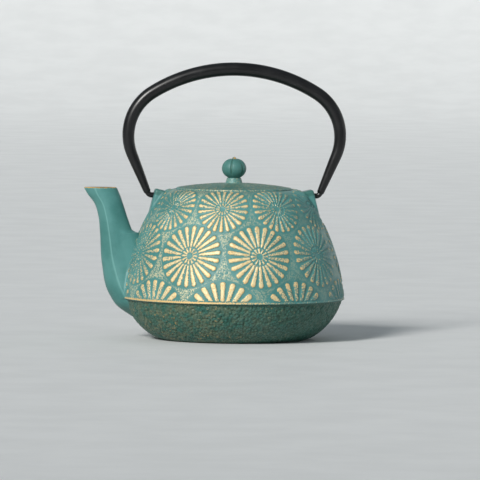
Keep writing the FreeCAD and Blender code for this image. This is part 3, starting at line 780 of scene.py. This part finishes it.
def fillet(spots, radius, flare, plain):
    """Sideways shift that widens what is cast onto the pot, within flare of the pot's surface. The
    middle of the piece, plain wide each way, keeps its place."""
    near = np.clip(np.hypot(spots[:, 0], spots[:, 1]) - radius, 0, flare)
    widen = flare - np.sqrt(np.clip(flare ** 2 - (flare - near) ** 2, 0, None))
    return np.sign(spots[:, 1]) * ease(plain, plain + 4, np.abs(spots[:, 1])) * widen * 0.8


def land_on_pot(ring, height):
    """Widen a slice where it meets the pot, and end it half way into the pot's wall."""
    radius = pot_radius(height)
    ring = ring + np.column_stack([np.zeros(len(ring)), fillet(ring, radius, SPOUT_FLARE, 2)])
    blend = 8
    first = KEEL_POINTS + SIDE_POINTS - blend
    weight = np.zeros(len(ring))
    weight[first:first + BACK_POINTS + 2 * blend] = np.concatenate(
        [np.linspace(0, 1, blend), np.ones(BACK_POINTS), np.linspace(1, 0, blend)])
    share = min(1.0, max(0.0, (CROTCH_TOP - height) / (CROTCH_TOP - CROTCH_LOW)))
    ring[:, 0] += weight * CROTCH_REACH * (1 - math.sqrt(1 - share ** 2))
    limit = radius - BURIED
    buried = np.hypot(ring[:, 0], ring[:, 1]) < limit
    ring[buried, 0] = -np.sqrt(limit ** 2 - ring[buried, 1] ** 2)
    return ring


def make_spout():
    """Stacked slices with a rounded gilded lip, painted highlights on the creases, painted shade on the
    keel.
    """
    top = SPOUT_SLICES[-1][0]
    lip_steps = top - np.array([0.6, 0.3, 0.1, 0.0])
    heights = np.unique(np.concatenate([
        np.arange(12.0, top - 0.9, 0.9), np.arange(CROTCH_LOW - 0.3, CROTCH_TOP, 0.3),
        lip_steps]).round(3))
    rounding = np.interp(heights, lip_steps, [0, 0.08, 0.25, 0.55])
    rings = []
    for height, keel, crease, width, back, inset in zip(heights, *slice_values(heights), rounding):
        ring = slice_ring(keel + inset, crease, width - inset, back - inset)
        if height < MOUTH_HEIGHT - 8:
            ring = land_on_pot(ring, height)
        rings.append(np.column_stack([ring, np.full(len(ring), height)]))
    columns, rows = len(rings[0]), len(rings)
    points = np.vstack(rings)
    height = points[:, 2]
    lip = ease(top - 0.75, top - 0.25, height)
    column = np.tile(np.arange(columns), rows)
    # Painted highlight: a paler green along the two creases.
    crease_highlight = np.isin(column, (0, KEEL_POINTS - 1)) * ease(24, 40, height)
    # Painted shade: the keel face between the creases is darkened; the spout's foot takes the bowl's
    # darker green.
    shaded_keel_face = (column > 0) & (column < KEEL_POINTS - 1)
    attributes = {"gold": lip * 0.8, "warm": lip, "crease_highlight": crease_highlight,
                  "low": np.maximum(0.75 * (1 - ease(18, 34, height)), shaded_keel_face * 0.22)}
    spout = add_piece("pouring_spout", points, capped(rows, columns), GREEN, "pot", ("spout",),
                      attributes, sharp=18)
    spout.data.materials.append(LINING)
    subtract(spout, spout_channel_cutter(), sharp=18)


def spout_channel_cutter():
    """The space inside the spout, open to the pot below the crotch and past the lip at the top."""
    top = SPOUT_SLICES[-1][0]
    floor, crotch = 33.0, 80.0
    heights = np.concatenate([np.arange(floor, top, 2.0), [top, top + 1]])
    values = slice_values(np.minimum(heights, top))
    rings = []
    for height, keel, crease, width, back in zip(heights, *values):
        inner_back = back - SPOUT_WALL * ease(crotch - 6, crotch, np.array(height))
        ring = slice_ring(keel + SPOUT_WALL, crease + SPOUT_WALL / 2, width - SPOUT_WALL, inner_back)
        rings.append(np.column_stack([ring, np.full(len(ring), height)]))
    return add_piece("channel_cutter", np.vstack(rings), capped(len(rings), len(rings[0])), LINING)


# ---------------------------------------------------------------- ears

# Corners of an ear's section, with the half width there: distance from the axis, height, half width.
EAR_CORNERS = [
    (47, 89, 10.4),
    (65, 89, 9.4),
    (59.2, MOUTH_HEIGHT + 0.3, 8.4),
    (46.5, MOUTH_HEIGHT - 2.6, 9.6),
]


def make_lug(name, node, side):
    """A leaning ear cast onto the shoulder, with draft, rounded edges and the hook's hole."""
    points = [(x * side, y * half, z) for y in (-1, 1) for x, z, half in EAR_CORNERS]
    faces = [[0, 1, 2, 3], [7, 6, 5, 4], [0, 4, 5, 1], [1, 5, 6, 2], [2, 6, 7, 3], [3, 7, 4, 0]]
    if side < 0:
        faces = [face[::-1] for face in faces]
    lug = add_piece(name, points, faces, GREEN, "pot", (node,))
    modify(lug, "BEVEL", width=1.5 * MM, segments=5, limit_method="NONE")
    modify(lug, "REMESH", mode="VOXEL", voxel_size=0.5 * MM)
    modify(lug, "SMOOTH", iterations=2)
    spots = np.empty(len(lug.data.vertices) * 3)
    lug.data.vertices.foreach_get("co", spots)
    spots = spots.reshape(-1, 3) / MM
    radius = pot_radius(spots[:, 2])
    spots[:, 1] += fillet(spots, radius, EAR_FLARE, 3)
    limit = radius - BURIED
    reach = np.hypot(spots[:, 0], spots[:, 1])
    buried = reach < limit
    spots[buried, :2] *= (limit / reach)[buried, None]
    lug.data.vertices.foreach_set("co", (spots * MM).ravel())
    # Painted shade: the ear's sloping top is darkened, like the rim of the mouth beside it.
    slope = 0.22 * (59 - np.abs(spots[:, 0]))
    top = ease(MOUTH_HEIGHT - 4.6, MOUTH_HEIGHT - 3.4, spots[:, 2] + slope)
    plain = np.zeros(len(spots))
    set_attributes(lug.data, {"gold": plain, "warm": plain, "dust": plain, "low": top * 0.55})
    hole = circle(HOOK_HOLE_RADIUS, PIVOT_HEIGHT)
    ends = [np.column_stack([np.full(HOLE_SIDES, x * side), hole]) for x in (56, 72)]
    subtract(lug, straight_cutter(name + "_hole", ends, LINING), sharp=50)


# ---------------------------------------------------------------- lid and knob

def make_turned(name, node, line, columns, relief, sharp=38):
    """A piece of the lid, turned about Z from a line that starts and ends on the axis."""
    off_axis = line[:, 0] > 1e-6
    angles = full_turn(columns)
    skin = turned(line[off_axis], angles)
    lift, fields = relief(skin, line[off_axis])
    skin = skin + turned(outward(line)[off_axis], angles) * lift[..., None]
    rows = len(skin)
    faces = ring_faces(rows, columns)
    pole = rows * columns
    faces += fan(columns, 0, pole, above=False) + fan(columns, pole - columns, pole + 1, above=True)
    points = np.vstack([skin.reshape(-1, 3), [[0, 0, line[0, 1]], [0, 0, line[-1, 1]]]])
    attributes = {label: np.concatenate([field.ravel(), field.ravel()[[0, -1]]])
                  for label, field in fields.items()}
    return add_piece(name, points, faces, GREEN, "lid", (node,), attributes, sharp)


SKIRT_INSIDE, SKIRT_RADIUS = 33.2, 35.4
VENT_RADIUS, VENT_DISTANCE = 1.5, 17


def lid_relief(skin, line):
    """Stippled dome with a gilded rim and a plainer collar."""
    radii, heights = line[:, 0:1], line[:, 1:2]
    everywhere = np.ones(skin.shape[:2])
    outside = np.arange(len(line))[:, None] <= np.argmax(line[:, 1])
    top_side = outside & (heights > 113.0)
    dome = ease(7.5, 9.0, radii) * (1 - ease(LID_RADIUS - 1.6, LID_RADIUS - 0.5, radii))
    dome = dome * top_side * everywhere
    chosen = dome > 0.01
    stipple = np.zeros(skin.shape[:2])
    stipple[chosen] = 0.6 - cell_distances(skin[chosen], 2.0)
    rim = ease(LID_RADIUS - 1.1, LID_RADIUS - 0.35, radii) * (heights > 112.4) * everywhere
    collar = (1 - ease(6.2, 7.5, radii)) * top_side * everywhere
    wiped = gilding_strength(full_turn(skin.shape[1]), LID_FOOT)
    fields = {"gold": rim * (0.15 + 0.45 * wiped), "warm": rim * 0.15,
              "dust": dome * ease(-0.05, 0.4, stipple) * 0.75 + collar * 0.30, "low": dome * 0.5}
    return LID_RELIEF * stipple * dome, fields


def make_lid():
    """Hollow dome with a skirt that drops into the basket, and a steam vent at the back."""
    seat, rim_top = LID_FOOT + 6.1, LID_FOOT + 9.8
    line = outline([
        (0, 113.6, 0, 3, 0),
        (12, 113.3, 0, 3, 0),
        (SKIRT_INSIDE, 111.6, 0.8, 2, 0),
        (SKIRT_INSIDE, LID_FOOT, 0.4, 1, 0),
        (SKIRT_RADIUS, LID_FOOT, 0.4, 1, 0),
        (SKIRT_RADIUS, seat, 0.5, 1.5, 0),
        (LID_RADIUS, seat, 0.5, 0.8, 0),
        (LID_RADIUS, rim_top, 0.8, 0.5, 260),
        (6.4, 117.0, 0.8, 0.6, 0),
        (5.3, COLLAR_TOP, 0.4, 0.6, 0),
        (0, COLLAR_TOP, 0, 1, 0),
    ])
    lid = make_turned("domed_lid", "lid", line, 540, lid_relief)
    vent = circle(VENT_RADIUS, VENT_DISTANCE)
    ends = [np.column_stack([vent, np.full(HOLE_SIDES, z)]) for z in (108, 122)]
    subtract(lid, straight_cutter("vent_cutter", ends, GREEN))


LOBES = 6
GROOVE_ANGLE = math.radians(-17)


def knob_relief(skin, line):
    """Rounded lobes parted by grooves that fade at the neck and the tip."""
    radii, heights = line[:, 0:1], line[:, 1:2]
    everywhere = np.ones(skin.shape[:2])
    turn = np.arctan2(skin[..., 0], -skin[..., 1])
    pitch = 2 * math.pi / LOBES
    aside = np.abs((turn - GROOVE_ANGLE) % pitch - pitch / 2) / (pitch / 2)
    groove = ease(0.74, 1.0, aside)
    body = ease(COLLAR_TOP + 1.0, COLLAR_TOP + 4.0, heights)
    body = body * (1 - ease(KNOB_TIP - 1.2, KNOB_TIP - 0.3, heights))
    body = body * ease(1.5, 3.0, radii)
    tip = ease(KNOB_TIP - 2.2, KNOB_TIP - 1.0, heights) * everywhere
    # Painted shade: the grooves take more of the darker green.
    fields = {"gold": tip * 0.5, "warm": tip, "dust": 0.03 * everywhere,
              "low": 0.35 * everywhere + groove * body * 0.4}
    return -GROOVE_DEPTH * groove * body * (radii / KNOB_RADIUS), fields


def make_knob():
    """Round knob on a short neck."""
    neck, belly, shoulder = 4.6, (KNOB_RADIUS, COLLAR_TOP + 7.1), (1.6, KNOB_TIP - 1.4)
    line = outline([
        (0, COLLAR_TOP, 0, 1, 0),
        (neck, COLLAR_TOP, 0.3, 0.3, 0),
        (neck + 0.2, COLLAR_TOP + 0.5, 0.3, 0.3, 7.5),
        (*belly, 0, 0.3, 7.5),
        (*shoulder, 0.4, 0.25, 0),
        (1.2, KNOB_TIP - 0.5, 0.4, 0.2, 0),
        (0, KNOB_TIP, 0, 0.2, 0),
    ])
    make_turned("lobed_knob", "lid_knob", line, 192, knob_relief, sharp=60)


# ---------------------------------------------------------------- bail

CROWN_BEND = 116.0
CORNER_BEND = 38.0
CORNER_CENTRE = 41.5
LEG_LEAN = math.radians(22.8)
FOOT_BEND = 3.4
LEG_LENGTH = 30.6
# Directions in the bail's plane for the right leg: down along it, and square to it, inwards.
DOWN = np.array([-math.sin(LEG_LEAN), -math.cos(LEG_LEAN)])
INWARD = np.array([-math.cos(LEG_LEAN), math.sin(LEG_LEAN)])
# The tube's radius at distances from its end.
TAPER_PLACES = [0, 12, LEG_LENGTH, 60, 95, 200]
TAPER_RADII = [2.62, 3.25, 4.1, 4.72, TUBE_RADIUS, TUBE_RADIUS]


def bail_half():
    """Centreline of the right half of the bail in the XZ plane: crown, corner, leg."""
    crown_z = CROWN_HEIGHT - CROWN_BEND
    gap = CROWN_BEND - CORNER_BEND
    corner = np.array([CORNER_CENTRE, crown_z + math.sqrt(gap ** 2 - CORNER_CENTRE ** 2)])
    meet = math.acos(CORNER_CENTRE / gap)
    turn = np.linspace(math.pi / 2, meet, 40)
    crown = np.column_stack([CROWN_BEND * np.cos(turn), crown_z + CROWN_BEND * np.sin(turn)])
    turn = np.linspace(meet, -LEG_LEAN, 50)[1:]
    bend = corner + CORNER_BEND * np.column_stack([np.cos(turn), np.sin(turn)])
    leg = bend[-1] + DOWN * np.linspace(0, LEG_LENGTH, 32)[1:, None]
    return np.vstack([crown, bend, leg])


def in_plane(line):
    """A line of (x, z) places as points."""
    return np.column_stack([line[:, 0], np.zeros(len(line)), line[:, 1]])


def make_bail():
    """The tube, thick at the crown, thin at the legs, with rounded ends."""
    half = bail_half()
    path = in_plane(np.vstack([half[::-1] * [-1, 1], half[1:]]))
    along = lengths_along(path)
    from_end = np.minimum(along, along[-1] - along)
    taper = through(TAPER_PLACES, TAPER_RADII, from_end)
    rounded = np.minimum(taper, 2.1 + 0.55 * np.sqrt(np.clip(from_end, 0, 1)))
    points, faces = tube(path, np.where(from_end > 1.0, taper, rounded), [0, 1, 0], 48)
    add_piece("bail_tube", points, faces, BLACK, "handle", ("handle_tube",))


def make_hook(name, side):
    """The thin rod at the end of a leg: down out of the tube, round the bend, into the lug."""
    foot = bail_half()[-1]
    turn = np.linspace(0, math.pi / 2 - LEG_LEAN, 12)[:, None]
    drop = foot[1] - PIVOT_HEIGHT - FOOT_BEND * (1 - math.sin(LEG_LEAN))
    knee = foot + DOWN * drop / math.cos(LEG_LEAN)
    bend = knee + FOOT_BEND * (INWARD * (1 - np.cos(turn)) + DOWN * np.sin(turn))
    tail = foot - DOWN * np.array([8.0, 4.0, 0.0])[:, None]
    pin = np.array([[HOOK_TIP + 0.5, PIVOT_HEIGHT], [HOOK_TIP, PIVOT_HEIGHT]])
    path = in_plane(np.vstack([tail, bend, pin])) * [side, 1, 1]
    radii = np.full(len(path), HOOK_RADIUS)
    radii[-1] = HOOK_RADIUS - 0.45
    points, faces = tube(path, radii, [0, 1, 0], 32)
    add_piece(name + "_rod", points, faces, BLACK, "handle", (name,))


# ---------------------------------------------------------------- infuser

WIRE_RADIUS = 0.17
WEAVE_PITCH = 1.75


def make_mesh_wall():
    """Woven wire cylinder: level rings and upright wires that pass over and under each other."""
    low, high = node_box("infuser_mesh_wall")
    middle = high[0] - 0.25
    uprights = 2 * round(math.pi * middle / WEAVE_PITCH)
    rings = round((high[2] - low[2]) / WEAVE_PITCH)
    levels = np.linspace(low[2] + 0.4, high[2] - 0.4, rings)
    sway = WIRE_RADIUS * 0.95
    parts = []
    turn = np.arange(uprights * 3) * (2 * math.pi / (uprights * 3))
    for index, level in enumerate(levels):
        radius = middle + sway * np.cos(turn * uprights / 2 + index * math.pi)
        path = np.column_stack([radius * np.sin(turn), -radius * np.cos(turn),
                                np.full(len(turn), level)])
        parts.append(tube(path, WIRE_RADIUS, [0, 0, 1], 4, closed=True))
    rise = np.linspace(levels[0], levels[-1], (rings - 1) * 3 + 1)
    phase = (rise - levels[0]) / (levels[1] - levels[0]) * math.pi
    for index in range(uprights):
        angle = index * 2 * math.pi / uprights
        radius = middle - sway * np.cos(phase + index * math.pi)
        path = np.column_stack([radius * math.sin(angle), -radius * math.cos(angle), rise])
        parts.append(tube(path, WIRE_RADIUS, [math.cos(angle), math.sin(angle), 0], 4))
    points, faces = join(parts)
    add_piece("basket_gauze_wall", points, faces, WIRE, "infuser", ("infuser_mesh_wall",),
              sharp=100)


def make_mesh_floor():
    """Woven wire disc under the leaves."""
    low, high = node_box("infuser_mesh_floor")
    edge, level = high[0] - 0.3, (low[2] + high[2]) / 2
    sway = WIRE_RADIUS * 0.5
    count = int(edge / WEAVE_PITCH)
    parts = []
    for way in (0, 1):
        for index in range(-count, count + 1):
            aside = index * WEAVE_PITCH
            half = math.sqrt(edge ** 2 - aside ** 2)
            along = np.linspace(-half, half, max(4, int(2 * half / WEAVE_PITCH * 3)))
            lift = sway * np.cos(along / WEAVE_PITCH * math.pi + (index + way) * math.pi)
            flat = [along, np.full(len(along), aside)]
            path = np.column_stack([flat[way], flat[1 - way], level + lift])
            parts.append(tube(path, WIRE_RADIUS * 0.55, [0, 0, 1], 4))
    points, faces = join(parts)
    add_piece("basket_gauze_floor", points, faces, WIRE, "infuser", ("infuser_mesh_floor",),
              sharp=100)


def finish_cad_node(name, material):
    """A CAD node that keeps its shape and gets a real finish."""
    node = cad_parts[name]
    for place in node.material_slots:
        place.material = material
    if not node.material_slots:
        node.data.materials.append(material)


# ---------------------------------------------------------------- stage

def make_floor():
    """A level floor that curves up into a wall all round, far beyond every camera."""
    flat, bend, top, columns = 5200, 2500, 3200, 96
    turn = np.linspace(0, math.pi / 2, 24)
    rise = np.column_stack([flat + bend * np.sin(turn), bend * (1 - np.cos(turn))])
    line = np.vstack([[[400, 0], [1500, 0]], rise, [[flat + bend, top]]])
    points = np.vstack([turned(line, full_turn(columns)).reshape(-1, 3), [[0, 0, 0]]])
    faces = ring_faces(len(line), columns) + fan(columns, 0, len(points) - 1, above=False)
    mesh = bpy.data.meshes.new("floor")
    mesh.from_pydata((points * MM).tolist(), [], [face[::-1] for face in faces])
    mesh.materials.append(floor_finish())
    mesh.shade_smooth()
    floor = bpy.data.objects.new("floor", mesh)
    bpy.context.scene.collection.objects.link(floor)


def place_camera():
    """Almost level with the pot and square on, a long way back with a long lens."""
    azimuth, elevation, roll = math.radians(-3.6), math.radians(2.9), 0.0092
    distance, lens, film_width = 4.5, 450, 36
    aim_right, aim_height = 4.9, 74.3
    right = Vector((math.cos(azimuth), math.sin(azimuth), 0))
    back = Vector((math.sin(azimuth) * math.cos(elevation),
                   -math.cos(azimuth) * math.cos(elevation), math.sin(elevation)))
    upward = back.cross(right)
    aim = right * aim_right * MM + Vector((0, 0, aim_height * MM))
    tilted = (right + upward * roll).normalized()
    upward = back.cross(tilted)
    camera = bpy.data.cameras.new("camera")
    camera.lens = lens
    camera.sensor_width = film_width
    camera.clip_end = 50
    holder = bpy.data.objects.new("camera", camera)
    holder.matrix_world = Matrix.Translation(aim + back * distance) @ Matrix(
        (tilted, upward, back)).transposed().to_4x4()
    bpy.context.scene.collection.objects.link(holder)
    bpy.context.scene.camera = holder


def add_sun(name, direction, strength, spread, colour):
    """Even light from far away; spread is how wide the source looks, in degrees."""
    lamp = bpy.data.lights.new(name, "SUN")
    lamp.energy = strength
    lamp.angle = math.radians(spread)
    lamp.color = colour
    holder = bpy.data.objects.new(name, lamp)
    holder.rotation_euler = (-Vector(direction)).to_track_quat("-Z", "Y").to_euler()
    bpy.context.scene.collection.objects.link(holder)


def light_stage():
    """A soft key from the front left, a faint fill, and a dim pale sky."""
    world = bpy.data.worlds.new("studio")
    world.use_nodes = True
    background = world.node_tree.nodes["Background"]
    background.inputs["Color"].default_value = (0.80, 0.92, 1.0, 1)
    background.inputs["Strength"].default_value = 0.23
    bpy.context.scene.world = world
    add_sun("key", (-0.57, -0.82, 0.62), 3.1, 16, (1.0, 0.98, 0.95))
    add_sun("fill", (1.0, -0.8, 0.5), 0.05, 40, (0.92, 0.96, 1.0))
    bpy.context.scene.view_settings.view_transform = "Standard"


# ---------------------------------------------------------------- assembly

make_shell()
make_spout()
make_lug("front_ear", "front_lug", -1)
make_lug("rear_ear", "rear_lug", 1)
make_lid()
make_knob()
make_bail()
make_hook("front_hook", -1)
make_hook("rear_hook", 1)
make_mesh_wall()
make_mesh_floor()
for steel_node in ("knob_screw", "knob_washer", "infuser_rim", "infuser_base_ring"):
    finish_cad_node(steel_node, STEEL)

make_floor()
place_camera()
light_stage()
